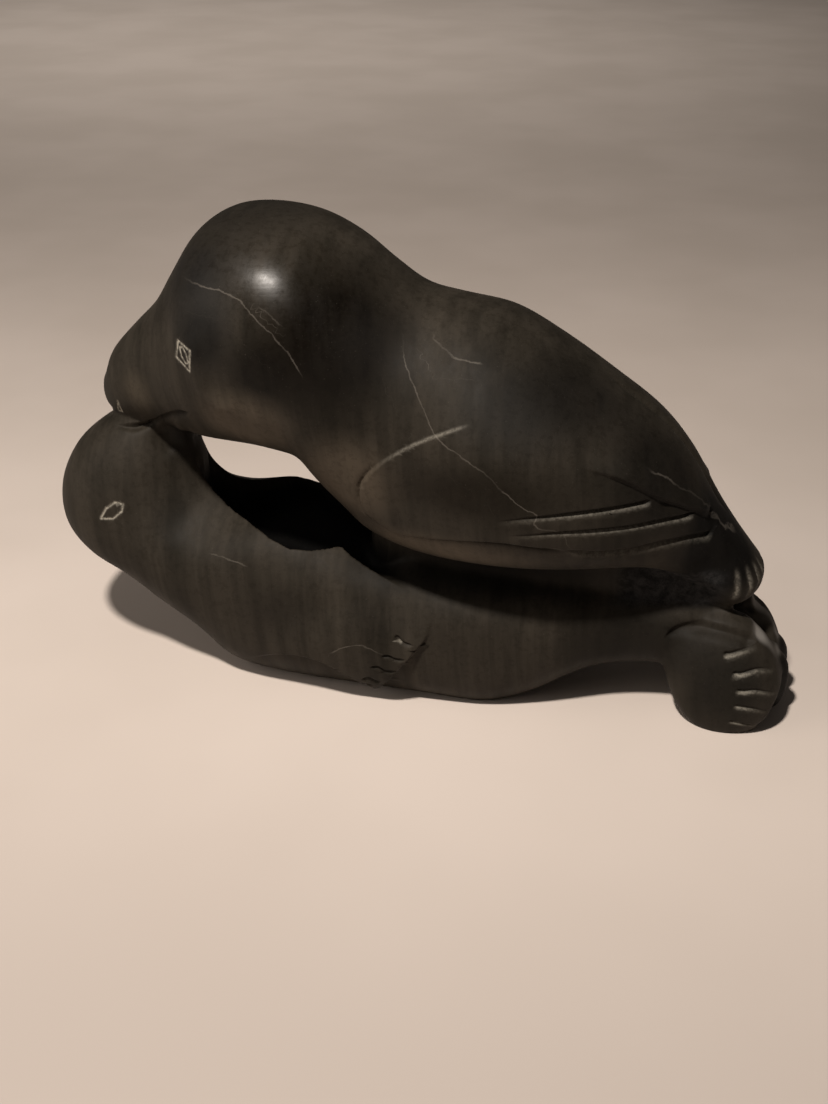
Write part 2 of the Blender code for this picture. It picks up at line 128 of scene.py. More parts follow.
# x, y and z of the middle, reach along, across and up, tilt and lean in degrees, squareness
HIND_PALM = (123, 14.0, 20.8, 22.3, 14.0, 27.0, 14, 22, 2.2)
HIND_BLADE = (127.5, 6.0, 14.5, 24.0, 8.0, 19.0, 0, 0, 2.9)

# Hollow of the lower seal's throat: half its width at each x, its depth, the x between which it
# deepens and dies out, the height that it stays below, how steep its wall is, and how far up the
# stone has to face there
HOLLOW_RIM = [(-96, 6), (-90.3, 8.2), (-86.1, 9.6), (-75.7, 16.6), (-68.1, 22.7), (-61.2, 26.5),
              (-52.4, 28.2), (-44.1, 26.9), (-37.7, 24.3), (-32.8, 21), (-28, 23.5), (-18.5, 26),
              (-7.7, 28.3), (1.7, 30.3)]
HOLLOW_DEPTH = 13.0
HOLLOW_START = (-106, -92)
HOLLOW_END = (-24, 0)
HOLLOW_TOP = 88.0
HOLLOW_WALL = 6
HOLLOW_FACING = 0.2

# Fineness of the mesh: the longest edge on plain stone, then for each kind of cut how far from it
# the mesh is fine and the longest edge there
PLAIN_EDGE = 9.0
LINE_MESH = (1.8, 0.4)
WING_EDGE_MESH = (1.4, 0.5)
FLIPPER_EDGE_MESH = (1.5, 0.8)
WING_RIDGE_MESH = (1.5, 0.7)
PALM_RIM_MESH = (2.0, 0.9)
EYE_MESH = (1.3, 0.42)
STROKE_MESH = (1.2, 0.42)
# Boxes that are fine all over: spans of x and z, then the reach from the rim or the middle plane
HOLLOW_MESH = ((-97, 0), (44, HOLLOW_TOP), 1.5)
TAIL_MESH = ((116, 160), (54, 74))
BACK_MESH = ((64, 120), (75, 200), 2.5)
BOX_EDGE = 0.8
# Edges along the lines are this much longer on the side that the photograph doesn't show
FAR_SIDE = 3.0
# Rounds of splitting, how many times too long an edge may stay, and rounds and shares of the
# smoothing after it
SPLIT_ROUNDS = 4
SPLIT_SLACK = 1.3
RELAX_ROUNDS = 3
RELAX_SHARES = (0.5, -0.52)

# Carving, in drawn units. The ends of a line are the shares of it over which the relief grows at
# its start and dies at its end

# Where the carving stops: how far cut lines keep from the middle plane and how far out the fore flippers
# lie, the height where the two animals meet, and the x that each fore flipper lies behind
SNOUT_CLEAR = 3.0
FLANK_START = 12.0
WAIST = 64.0
WING_FRONT = -40.0
FLIPPER_FRONT = -80.0

# Fore flipper of the upper seal: its edge, the relief there, the distance over which that fades
# inwards, the span across the edge over which it rises, and its ends
WING_EDGE = [(22.7, 134.5), (11.7, 129.8), (1.1, 124.4), (-8.3, 117.7), (-13.2, 112.8), (-16.9, 107.7),
             (-18.6, 102.6), (-17.9, 95.5), (-14.6, 91), (-4.8, 86.1), (5.4, 86.4), (13.8, 87.7),
             (34.4, 89.9), (51.2, 88), (60.3, 86.2)]
WING_RELIEF = 1.5
WING_FADE = 15.0
WING_STEP = (-0.5, 0.7)
WING_ENDS = (0.07, 0.12)
# Over its first part the edge carries a painted highlight, a pale line where the crest catches the
# light: how far inside it lies, its width, how pale it is, and the shares of the edge over which it
# starts and ends
CREST_PLACE = 0.2
CREST_WIDTH = 1.1
CREST_HIGHLIGHT = 0.34
CREST_START = (0, 0.05)
CREST_END = (0.12, 0.30)
# After the crest comes a cut line: width and depth, how far outside the edge it lies, and the
# shares of the edge over which it starts and ends
WING_LINE = (1.5, 0.9)
WING_LINE_PLACE = 0.6
WING_LINE_START = (0.26, 0.34)
WING_LINE_END = (0.92, 1)
# Soft ridge over the digits: its height, the spans across it of the steep side below and the long
# one above, and its ends
WING_RIDGE = [(59.9, 120.5), (68.8, 117.3), (78.6, 113), (90.5, 105.6), (97.4, 101.5), (104.5, 96.8),
              (111, 91.3)]
RIDGE_RISE = 2.3
RIDGE_WALL = (-1.1, 0)
RIDGE_SLOPE = (0, 9)
RIDGE_ENDS = (0.35, 0.1)
# Drop behind the digits' ends: its depth, the spans across it of the step and of the slope back,
# and its ends
DIGIT_ENDS = [(87.8, 105.2), (94.8, 101.3), (104.3, 95.5), (111.7, 85.7)]
DIGIT_DROP = 1.4
DIGIT_STEP = (-2.5, 2.5)
DIGIT_FADE = (4, 12)
DROP_ENDS = (0.2, 0.05)
# Hollow behind the tip: x, z, radius and depth
TIP_HOLLOW = (113.5, 73.5, 7.5, 3.0)

# Fore flipper of the lower seal: its lower edge and top, the x between which it rises, its relief,
# and the spans across edge and top over which it grows
FLIPPER_EDGE = [(10, 50), (6.5, 40.5), (5.7, 36), (1.1, 29), (-4.7, 21.3), (-9.9, 13.6), (-15.5, 7.7),
                (-21.1, 10.3), (-28.5, 14.6), (-35.9, 19), (-44.6, 20.9), (-54.8, 19.7), (-64.5, 16),
                (-74.9, 9)]
FLIPPER_TOP = [(-75, 34), (-53.4, 37.9), (-44.6, 40.6), (-35, 43), (-21.8, 45.8), (-14.2, 43.1),
               (-6.7, 42.3), (6.4, 40.4), (14, 36)]
FLIPPER_RISE = (-76, -30)
FLIPPER_RELIEF = 3.6
FLIPPER_STEP = (-0.8, 0.8)
FLIPPER_SLOPE = (-4.0, 16.0)

# Cut lines: points, width and depth, share of the line over which it grows at its start and
# dies at its end, and how pale its lower lip is, partly pale cut stone and partly painted highlight
LINES = [
    ([(33.6, 99.4), (44.8, 101.5), (56.5, 102.7), (68.2, 103.7), (79.7, 104.6), (87.6, 105.1)],
     3.0, 1.8, 0.5, 0.04, 0.28),
    ([(37.5, 93.8), (49.5, 95.1), (62.9, 95.3), (77.6, 95.8), (92.2, 96.7), (104.2, 95.8)],
     3.0, 1.8, 0.45, 0.04, 0.28),
    ([(58.8, 86.9), (69.4, 84.6), (81.3, 85.1), (93.2, 87), (103.7, 87.4), (112.3, 85.6)],
     4.0, 1.6, 0.12, 0.04, 0.16),
    ([(-6.5, 36.4), (-5.1, 34.9), (-3.2, 33.5), (1.1, 32.4)], 2.2, 1.2, 0.1, 0.3, 0.0),
    ([(-12.2, 26.8), (-9.3, 27.3), (-6.5, 26.3), (-1.6, 26.2)], 2.2, 1.2, 0.1, 0.3, 0.0),
    ([(-17, 20.7), (-13.8, 21.5), (-10.5, 19.9), (-4.7, 20.5)], 2.2, 1.2, 0.1, 0.3, 0.0),
    ([(-20.9, 13.6), (-17.8, 15.1), (-14.8, 13.7), (-12.3, 14.4)], 2.2, 1.1, 0.1, 0.3, 0.0),
    ([(134.1, 39), (127.8, 37.6), (123.6, 36.3), (121.2, 36.3)], 3.0, 1.5, 0.9, 0.1, 0.6),
    ([(143, 29), (135.1, 30.8), (128.8, 29.4), (125.3, 29.4)], 3.0, 1.5, 0.9, 0.1, 0.6),
    ([(145.3, 19.2), (136.2, 22.5), (130.8, 22.3), (127.7, 22.8)], 2.7, 1.4, 0.9, 0.1, 0.55),
    ([(142.4, 11.6), (136.2, 14.5), (130.6, 15.5), (128, 16.1)], 2.7, 1.4, 0.9, 0.1, 0.5),
    ([(140.3, 5.4), (136.4, 5.6), (131.7, 7.1), (126.9, 8.1)], 2.2, 1.2, 0.9, 0.1, 0.5),
    ([(98.5, 37), (103.5, 41.2), (111, 43), (120, 43.2), (128, 41.8), (134, 39.4)],
     6.0, 1.9, 0.1, 0.1, 0.0),
    ([(-128.8, 105.1), (-122.9, 105.8), (-116.5, 106.8), (-110.3, 109.4), (-101.1, 116.5), (-94.2, 121.2),
      (-88.6, 123.6), (-85.8, 123.9)], 3.6, 2.3, 0.2, 0.12, 0.0),
]
# Width at a line's thin end, and place and width of its pale lip, as shares of the line's width.
# The lip lies on the long lower wall and is partly pale cut stone, partly painted highlight there
LINE_START_WIDTH = 0.35
LINE_LIP = (0.38, 0.5)
# Reach of a cut's steep upper wall and of its long lower one, as shares of its width
CUT_WALLS = (0.34, 0.75)

# Toes of the upper seal's tail: degrees round the upright line at TAIL_AXIS, the heights between
# which the grooves deepen below and die out above, the radii between which they deepen, width
# and depth, and how pale they are
TAIL_TOES = (11, 23, 36, 50)
TAIL_AXIS = 110.0
TAIL_TOE_FOOT = (55, 60)
TAIL_TOE_HEAD = (65, 71)
TAIL_TOE_RADII = (9, 12)
TAIL_TOE_GROOVE = (1.7, 1.0)
TAIL_TOE_PALE = 0.45

# Groove down the upper seal's back: the x between which it deepens and dies out, width and depth
BACK_GROOVE_START = (66, 76)
BACK_GROOVE_END = (108, 118)
BACK_GROOVE = (3.5, 1.9)
BACK_LOW = 70.0

# Eyes, cut as thin pale outlines, and the short pale strokes in and near them. A line is its
# width and depth, and its pale part is narrower by EYE_PALE_WIDTH
EYES = [
    [(-86.3, 154.4), (-82.8, 153.8), (-79.5, 153), (-80, 149.2), (-80.8, 144.8), (-84.4, 146.3),
     (-87.8, 148), (-86.9, 151.3), (-86.3, 154.4)],
    [(-131.9, 70.6), (-129.1, 75.3), (-125.2, 78.2), (-121.8, 77.6), (-122.4, 74.7), (-126.2, 71.5),
     (-131.9, 70.6)],
]
EYE_LINE = (0.95, 0.4)
EYE_REACH = 3.0
EYE_PALE_WIDTH = 0.9
STROKES = [
    [(-85.5, 152.3), (-83.7, 152.9), (-81.7, 151.1), (-80.8, 148), (-82.6, 147.2), (-84.7, 149.3),
     (-85.5, 152.3)],
    [(-125.2, 116.6), (-125.1, 110.8), (-127.5, 110.4), (-125.2, 116.6)],
    [(-5.6, 34.2), (-4.4, 33.4)],
]
STROKE_LINE = (0.8, 0.3)

# Soft ridges and hollows of the faces: points, width, height
FOLDS = [
    ([(-95.9, 119.3), (-95.6, 114.9), (-98.5, 108), (-101.9, 102), (-100.2, 96.6), (-98, 92.5)], 4.0, 0.9),
    ([(-107.1, 105.9), (-108.7, 102), (-106.6, 98.1), (-103.5, 95.1)], 6.0, -1.3),
    ([(-83.5, 161.1), (-80.1, 157.7), (-78.8, 144.7), (-76.1, 137.2), (-71, 132), (-67.7, 124.8)],
     8.0, 1.3),
]
FOLD_ENDS = (0.2, 0.2)

# Rim of the lower seal's hind palm, which lies behind PALM_FRONT and below PALM_TOP. Beyond it the
# stone falls away in a step, chipped pale along the first part of the rim and painted dark as shade
# along the rest
PALM_RIM = [(130.1, 43.5), (134, 39.4), (138.3, 36.1), (141.6, 31.9), (144.1, 27.4), (145.7, 22.5),
            (145.1, 19.1), (143.4, 14.3), (140.6, 7.3), (136.5, 4.8)]
PALM_FRONT = 120
PALM_TOP = 50
PALM_STEP = (0, 2.2)
PALM_DROP = 1.6
PALM_ENDS = (0.1, 0.1)
CHIP_END = (0.35, 0.45)
CHIP_REACH = (4, 7)
CHIP_SIDE = 12.0
PALM_PAINTED_SHADE_START = (0.40, 0.50)

# Stone left rough between the tails: the spans of x, z and y over which it starts and ends
ROUGH_START = (72, 84)
ROUGH_END = (114, 122)
ROUGH_FOOT = (46, 51)
ROUGH_HEAD = (66, 70)
ROUGH_SIDE = (19, 24)

# Painted shade: the throat's hollow is painted darker inwards from its rim over this span, and the
# palm's step this much
HOLLOW_PAINTED_SHADE_SPAN = (0.3, 2.0)
PALM_PAINTED_SHADE = 0.85

# Thin pale veins, on stone that faces the near side
VEIN_STEPS = 3
VEIN_REACH = 4.0
VEIN_ENDS = (0.1, 0.1)
VEIN_FACING = 0.3
NO_VEIN = 9.0
VEINS = [
    [(-87.1, 175), (-74.5, 174.9), (-63.7, 173.6), (-56.6, 168.8), (-48.3, 162.1), (-40.6, 153.3),
     (-37.3, 146.5)],
    [(-53.5, 171), (-50, 168.8), (-45.5, 165)],
    [(-34, 25), (-26, 30), (-20, 31), (-10, 27)],
    [(-6.3, 160.1), (-2.7, 149.8), (3, 140.9), (8.5, 131.1), (10.1, 129.1), (16.5, 125.2), (22.8, 121.3),
     (28.8, 117.7), (34.3, 112.2), (42.8, 105.4), (47.6, 102.6), (47.1, 97.9), (56.8, 95.6), (58.8, 90.1),
     (61.9, 86.1)],
    [(4.7, 158.1), (13.2, 153.3), (24.2, 151.1)],
    [(82.9, 116.2), (88.1, 113), (95, 108), (103.2, 100.8), (109.1, 93.2), (121.1, 79.8)],
    [(-84.9, 60.9), (-77.1, 60.4), (-68.5, 58.5)],
]


def catmull_rom(rows, per_span):
    """Rows filled in smoothly, with this many steps from each to the next."""
    table = np.array(rows, dtype=float)
    padded = np.vstack([2 * table[0] - table[1], table, 2 * table[-1] - table[-2]])
    smooth = []
    for span in range(len(table) - 1):
        before, start, end, after = padded[span:span + 4]
        for step in range(per_span):
            t = step / per_span
            smooth.append(0.5 * (2 * start + (end - before) * t
                                 + (2 * before - 5 * start + 4 * end - after) * t ** 2
                                 + (3 * start - before - 3 * end + after) * t ** 3))
    smooth.append(table[-1])
    return np.array(smooth)


def ring(station, shift, scale):
    """Points round a body at one station, moved by shift in x and z and drawn in by scale."""
    top, bottom = station[:2], station[2:4]
    half_width, top_share, square_above, square_below = station[4:]
    middle, reach = (top + bottom) / 2, (top - bottom) / 2
    points = []
    for index in range(RING_POINTS):
        angle = 2 * math.pi * index / RING_POINTS
        up, out = math.cos(angle), math.sin(angle)
        square = square_above if up > 0 else square_below
        lift = math.copysign(abs(up) ** (2 / square), up) * scale
        side = math.copysign(abs(out) ** (2 / square), out) * half_width * scale
        side *= 1 - (1 - top_share) * max(up, 0.0)
        x, z = middle + reach * lift + shift
        points.append((x, side, z))
    return points


def add_body(bm, stations, caps):
    """A long body through its stations, with a rounded cap at each end."""
    smooth = catmull_rom(stations, RINGS_PER_SPAN)
    sections = [(station, np.zeros(2), 1.0) for station in smooth]
    tips = []
    for end, cap in ((0, caps[0]), (-1, caps[1])):
        reach = smooth[end][:2] - smooth[end][2:4]
        outward = np.array((reach[1], -reach[0])) / np.linalg.norm(reach)
        if end == 0:
            outward = -outward
        for step in range(1, CAP_RINGS):
            angle = math.pi / 2 * step / CAP_RINGS
            section = (smooth[end], outward * cap * math.sin(angle), math.cos(angle))
            sections.insert(0 if end == 0 else len(sections), section)
        tips.append((smooth[end][:2] + smooth[end][2:4]) / 2 + outward * cap)
    rings = [[bm.verts.new(point) for point in ring(*section)] for section in sections]
    for one, two in zip(rings, rings[1:]):
        for index in range(RING_POINTS):
            after = (index + 1) % RING_POINTS
            bm.faces.new((one[index], one[after], two[after], two[index]))
    for tip, rim in zip(tips, (rings[0][::-1], rings[-1])):
        pole = bm.verts.new((tip[0], 0, tip[1]))
        for index in range(RING_POINTS):
            bm.faces.new((rim[index], rim[(index + 1) % RING_POINTS], pole))


def add_lobe(bm, lobe, side):
    """A squarish ball, turned and stretched, on one side of the middle plane."""
    x, y, z, along, across_body, up, tilt, lean, square = lobe
    ball = bmesh.ops.create_uvsphere(bm, u_segments=RING_POINTS, v_segments=RING_POINTS // 2, radius=1)
    for vert in ball["verts"]:
        vert.co /= sum(abs(part) ** square for part in vert.co) ** (1 / square)
    place = Matrix.Translation((x, side * y, z))
    turn = Matrix.Rotation(math.radians(side * tilt), 4, "X") @ Matrix.Rotation(math.radians(-lean), 4, "Y")
    size = Matrix.Diagonal((along, across_body, up, 1))
    bmesh.ops.transform(bm, matrix=place @ turn @ size, verts=ball["verts"])


def blended_mesh():
    """All forms as one skin in drawn units, with the joins between them rounded."""
    bm = bmesh.new()
    bodies = ((UPPER_SEAL, UPPER_CAPS), (LOWER_SEAL, LOWER_CAPS), (JAW, JAW_CAPS), (CORE, CORE_CAPS))
    for stations, caps in bodies:
        add_body(bm, stations, caps)
    for side in (-1, 1):
        add_lobe(bm, HIND_PALM, side)
        add_lobe(bm, HIND_BLADE, side)
    bmesh.ops.recalc_face_normals(bm, faces=bm.faces)
    forms = bpy.data.meshes.new("forms")
    bm.to_mesh(forms)
    bm.free()
    carving = bpy.data.objects.new("forms", forms)
    bpy.context.scene.collection.objects.link(carving)
    remesh = carving.modifiers.new("One skin", "REMESH")
    remesh.mode = "VOXEL"
    remesh.voxel_size = VOXEL
    smooth = carving.modifiers.new("Rounded joins", "SMOOTH")
    smooth.factor = BLEND_SHARE
    smooth.iterations = BLEND_STEPS
    fewer = carving.modifiers.new("Fewer triangles", "DECIMATE")
    fewer.ratio = KEPT_SHARE
    depsgraph = bpy.context.evaluated_depsgraph_get()
    mesh = bpy.data.meshes.new_from_object(carving.evaluated_get(depsgraph))
    bpy.data.objects.remove(carving)
    points = np.empty(3 * len(mesh.vertices))
    mesh.vertices.foreach_get("co", points)
    mesh.calc_loop_triangles()
    corners = np.empty(3 * len(mesh.loop_triangles), dtype=np.int64)
    mesh.loop_triangles.foreach_get("vertices", corners)
    bpy.data.meshes.remove(mesh)
    return points.reshape(-1, 3), corners.reshape(-1, 3)


def ease(values, start, end):
    """0 up to start, 1 from end on, with a smooth step between."""
    t = np.clip((values - start) / (end - start), 0, 1)
    return t * t * (3 - 2 * t)


def within(values, start, end):
    """Steps up over the start span and down again over the end span."""
    return ease(values, *start) * (1 - ease(values, *end))


def between(values, span):
    return (values > span[0]) & (values < span[1])


def bell(distance, width):
    return np.exp(-(2 * distance / width) ** 2)


def ends(share, shares):
    """1 along a route, falling to 0 over these shares of it at its start and at its end."""
    return ease(share, 0, shares[0]) * ease(1 - share, 0, shares[1])


def measured(places, route):
    """Distance of each place from a route, the share of the route passed there, and the side."""
    best = np.full(len(places), np.inf)
    share = np.zeros(len(places))
    side = np.ones(len(places))
    spans = np.diff(route, axis=0)
    lengths = np.hypot(spans[:, 0], spans[:, 1])
    passed = 0.0
    for start, span, length in zip(route, spans, lengths):
        offset = places - start
        t = np.clip(offset @ span / length ** 2, 0, 1)
        miss = offset - t[:, None] * span
        distance = np.hypot(miss[:, 0], miss[:, 1])
        nearer = distance < best
        best[nearer] = distance[nearer]
        share[nearer] = (passed + t[nearer] * length) / lengths.sum()
        side[nearer] = np.sign(span[0] * offset[nearer, 1] - span[1] * offset[nearer, 0])
        passed += length
    return best, share, side


def across(places, rows):
    """How far each place lies to the left of a smooth route, and the share of it passed there."""
    distance, share, side = measured(places, catmull_rom(rows, ROUTE_STEPS))
    return distance * side, share


def near(places, route, reach):
    """Which places lie inside the route's box widened by reach."""
    low, high = route.min(axis=0) - reach, route.max(axis=0) + reach
    return ((places > low) & (places < high)).all(axis=1)


def hollow_rim(x):
    """Half width of the throat's hollow at each x."""
    return np.interp(x, *np.array(HOLLOW_RIM, dtype=float).T)


def fineness(points):
    """Longest edge wanted at each point: short along the cut lines, long on the plain stone."""
    flank = points[:, [0, 2]]
    wanted = np.full(len(points), PLAIN_EDGE)
    cuts = [(line[0], *LINE_MESH) for line in LINES]
    cuts += [(WING_EDGE, *WING_EDGE_MESH), (FLIPPER_EDGE, *FLIPPER_EDGE_MESH)]
    cuts += [(WING_RIDGE, *WING_RIDGE_MESH), (PALM_RIM, *PALM_RIM_MESH)]
    fine = [(catmull_rom(rows, ROUTE_STEPS), reach, length, FAR_SIDE) for rows, reach, length in cuts]
    fine += [(np.array(eye), *EYE_MESH, 1.0) for eye in EYES]
    fine += [(np.array(stroke), *STROKE_MESH, 1.0) for stroke in STROKES]
    for route, reach, length, far_side in fine:
        picked = np.flatnonzero(near(flank, route, reach))
        distance = measured(flank[picked], route)[0]
        close = picked[distance < reach]
        length = np.where(points[close, 1] < 0, length, length * far_side)
        wanted[close] = np.minimum(wanted[close], length)

    x, y, z = points.T
    x_span, z_span, reach = HOLLOW_MESH
    box = (y < 0) & (abs(abs(y) - hollow_rim(x)) < reach) & between(x, x_span) & between(z, z_span)
    x_span, z_span = TAIL_MESH
    box |= between(x, x_span) & between(z, z_span)
    x_span, z_span, reach = BACK_MESH
    box |= (abs(y) < reach) & between(x, x_span) & between(z, z_span)
    wanted[box] = np.minimum(wanted[box], BOX_EDGE)
    return wanted


def corner_pairs(corners):
    """The two ends of each side of each triangle, lower number first."""
    return np.sort(corners[:, [[0, 1], [1, 2], [2, 0]]].reshape(-1, 2), axis=1)


def split_once(points, corners, edges, where, split):
    """Halve the edges marked in split, and cut every triangle that has one of them."""
    fresh = np.full(len(edges), -1)
    fresh[split] = len(points) + np.arange(split.sum())
    points = np.vstack([points, points[edges[split]].mean(axis=1)])
    mids = fresh[where]
    count = (mids >= 0).sum(axis=1)
    made = [corners[count == 0]]
    whole = count == 3
    a, b, c = corners[whole].T
    ab, bc, ca = mids[whole].T
    made += [np.stack(t, axis=1) for t in ((a, ab, ca), (ab, b, bc), (ca, bc, c), (ab, bc, ca))]
    for turn in range(3):
        order = [turn, (turn + 1) % 3, (turn + 2) % 3]
        one = (count == 1) & (mids[:, turn] >= 0)
        a, b, c = corners[one][:, order].T
        ab = mids[one, turn]
        made += [np.stack(t, axis=1) for t in ((a, ab, c), (ab, b, c))]
        two = (count == 2) & (mids[:, order[2]] < 0)
        a, b, c = corners[two][:, order].T
        ab, bc = mids[two, turn], mids[two, order[1]]
        made += [np.stack(t, axis=1) for t in ((ab, b, bc), (a, ab, bc), (a, bc, c))]
    return points, np.vstack(made)


def refined(points, corners):
    """Split every edge that is longer than wanted where it lies; the mesh stays closed."""
    for _ in range(SPLIT_ROUNDS):
        edges, where = np.unique(corner_pairs(corners), axis=0, return_inverse=True)
        lengths = np.linalg.norm(points[edges[:, 0]] - points[edges[:, 1]], axis=1)
        split = lengths > fineness(points[edges].mean(axis=1)) * SPLIT_SLACK
        if not split.any():
            break
        points, corners = split_once(points, corners, edges, where.reshape(-1, 3), split)
    return points, corners


def vertex_normals(points, corners):
    a, b, c = (points[corners[:, k]] for k in range(3))
    faces = np.cross(b - a, c - a)
    normals = np.zeros_like(points)
    for k in range(3):
        np.add.at(normals, corners[:, k], faces)
    return normals / np.linalg.norm(normals, axis=1)[:, None]


def relaxed(points, corners):
    """Even the surface out a little, so that no facet of the coarser grid shows."""
    edges = np.unique(corner_pairs(corners), axis=0)
    count = np.bincount(edges.ravel(), minlength=len(points))[:, None]
    for _ in range(RELAX_ROUNDS):
        for share in RELAX_SHARES:
            total = np.zeros_like(points)
            np.add.at(total, edges[:, 0], points[edges[:, 1]])
            np.add.at(total, edges[:, 1], points[edges[:, 0]])
            points = points + share * (total / count - points)
    return points


class Skin:
    """The plain skin, the height that the carving gives each point, and the masks for the stone."""

    def __init__(self, points, corners):
        count = len(points)
        self.points = points
        self.normals = vertex_normals(points, corners)
        self.x, self.y, self.z = points.T
        self.flank = points[:, [0, 2]]
        self.away = abs(self.y)
        self.facing_out = self.y * self.normals[:, 1] > 0
        self.height = np.zeros(count)
        self.pale_and_highlight = np.zeros(count)
        self.vein = np.zeros(count)
        self.vein_away = np.full(count, NO_VEIN)
        self.rough = np.zeros(count)
        self.chip = np.zeros(count)
        self.painted_shade = np.zeros(count)

    def masks(self):
        names = ("pale_and_highlight", "vein", "vein_away", "rough", "chip", "painted_shade")
        return {name: getattr(self, name) for name in names}

    def lighten(self, picked, share):
        self.pale_and_highlight[picked] = np.maximum(self.pale_and_highlight[picked], share)


def groove_profile(signed, width, depth):
    """A groove with a steep wall on its upper side and a long one below that catches the light."""
    upper = np.clip(1 - signed / (CUT_WALLS[0] * width), 0, 1)
    lower = np.clip(1 + signed / (CUT_WALLS[1] * width), 0, 1)
    wall = np.where(signed > 0, upper, lower)
    return -depth * wall * wall * (3 - 2 * wall)


def cut_lines(skin):
    """All cut lines, each growing wider and deeper from its start, with a pale lower lip, partly painted
    highlight.
    """
    lip_place, lip_width = LINE_LIP
    for rows, width, depth, rise, fall, light in LINES:
        route = catmull_rom(rows, ROUTE_STEPS)
        picked = np.flatnonzero(near(skin.flank, route, width + 1) & (skin.away > SNOUT_CLEAR))
        distance, share, side = measured(skin.flank[picked], route)
        rightward = np.sign(route[-1, 0] - route[0, 0])
        signed = distance * side * rightward
        grown = np.clip(share / rise, 0, 1) * ease(1 - share, 0, fall) * (distance < width)
        cut_width = width * (LINE_START_WIDTH + (1 - LINE_START_WIDTH) * grown)
        skin.height[picked] += groove_profile(signed, cut_width, depth) * grown
        # Pale lower lip: partly the cut stone's pale, partly a painted highlight where the lower wall faces
        # the light
        skin.lighten(picked, light * bell(signed + lip_place * width, lip_width * width) * grown)


def cut_eyes(skin):
    """The outlines of the eyes and the short strokes, thin and pale."""
    cuts = [(eye, EYE_LINE) for eye in EYES] + [(stroke, STROKE_LINE) for stroke in STROKES]
    for rows, (width, depth) in cuts:
        route = np.array(rows)
        picked = np.flatnonzero(near(skin.flank, route, EYE_REACH) & (skin.away > SNOUT_CLEAR))
        distance = measured(skin.flank[picked], route)[0]
        skin.height[picked] -= depth * bell(distance, width)
        skin.lighten(picked, bell(distance, width * EYE_PALE_WIDTH))


def trace_veins(skin):
    """Mark where veins run and how far each point lies across the nearest one."""
    nearest = np.full(len(skin.points), NO_VEIN)
    faced = (skin.y < 0) & (skin.normals[:, 1] < VEIN_FACING)
    for rows in VEINS:
        route = catmull_rom(rows, VEIN_STEPS)
        picked = np.flatnonzero(near(skin.flank, route, VEIN_REACH) & faced)
        distance, share, side = measured(skin.flank[picked], route)
        closer = distance < nearest[picked]
        picked = picked[closer]
        nearest[picked] = distance[closer]
        skin.vein_away[picked] = (distance * side)[closer]
        skin.vein[picked] = ends(share, VEIN_ENDS)[closer]


def raise_wing(skin):
    """The upper seal's fore flipper: its edge, the ridge, the digits' ends and the tip's hollow."""
    behind = (skin.x > WING_FRONT) & (skin.z > WAIST)
    picked = np.flatnonzero((skin.away > FLANK_START) & skin.facing_out & behind)
    places = skin.flank[picked]

    inside, share = across(places, WING_EDGE)
    step = ease(inside, *WING_STEP) * np.exp(-(np.maximum(inside, 0) / WING_FADE) ** 2)
    wing = WING_RELIEF * step * ends(share, WING_ENDS)
    # Painted highlight along the crest of the wing's edge
    crest_highlight = bell(inside - CREST_PLACE, CREST_WIDTH) * within(share, CREST_START, CREST_END)
    skin.lighten(picked, CREST_HIGHLIGHT * crest_highlight)
    width, depth = WING_LINE
    line = bell(inside + WING_LINE_PLACE, width) * within(share, WING_LINE_START, WING_LINE_END)
    wing -= depth * line

    above, share = across(places, WING_RIDGE)
    wing += RIDGE_RISE * within(above, RIDGE_WALL, RIDGE_SLOPE) * ends(share, RIDGE_ENDS)
    beyond, share = across(places, DIGIT_ENDS)
    wing -= DIGIT_DROP * within(beyond, DIGIT_STEP, DIGIT_FADE) * ends(share, DROP_ENDS)
    hollow_x, hollow_z, radius, depth = TIP_HOLLOW
    wing -= depth * bell(np.hypot(places[:, 0] - hollow_x, places[:, 1] - hollow_z), 2 * radius)
    skin.height[picked] += wing


def raise_flipper(skin):
    """The lower seal's fore flipper, lying over the flank."""
    behind = (skin.x > FLIPPER_FRONT) & (skin.z < WAIST)
    picked = np.flatnonzero((skin.away > FLANK_START) & skin.facing_out & behind)
    places = skin.flank[picked]
    outside, _ = across(places, FLIPPER_EDGE)
    above, _ = across(places, FLIPPER_TOP)
    grown = ease(-outside, *FLIPPER_STEP) * ease(-above, *FLIPPER_SLOPE) * ease(places[:, 0], *FLIPPER_RISE)
    skin.height[picked] += FLIPPER_RELIEF * grown


def fold_faces(skin):
    """The soft ridges and hollows of the faces."""
    for rows, width, rise in FOLDS:
        route = catmull_rom(rows, ROUTE_STEPS)
        flank = near(skin.flank, route, width) & (skin.away > SNOUT_CLEAR) & skin.facing_out
        picked = np.flatnonzero(flank)
        distance, share, _ = measured(skin.flank[picked], route)
        skin.height[picked] += rise * bell(distance, width) * ends(share, FOLD_ENDS)


def step_palm(skin):
    """The step beyond the hind palm's rim, chipped pale at first and with painted shade after."""
    picked = np.flatnonzero((skin.x > PALM_FRONT) & (skin.z < PALM_TOP))
    beyond, share = across(skin.flank[picked], PALM_RIM)
    outside = ease(beyond, *PALM_STEP) * ends(share, PALM_ENDS)
    skin.height[picked] -= PALM_DROP * outside
    skin.chip[picked] = outside * (1 - ease(share, *CHIP_END)) * (1 - ease(abs(beyond), *CHIP_REACH))
    skin.chip *= (skin.y < CHIP_SIDE) & (skin.normals[:, 0] > 0)
    # Painted shade along the step's far part
    skin.painted_shade[picked] = PALM_PAINTED_SHADE * outside * ease(share, *PALM_PAINTED_SHADE_START)


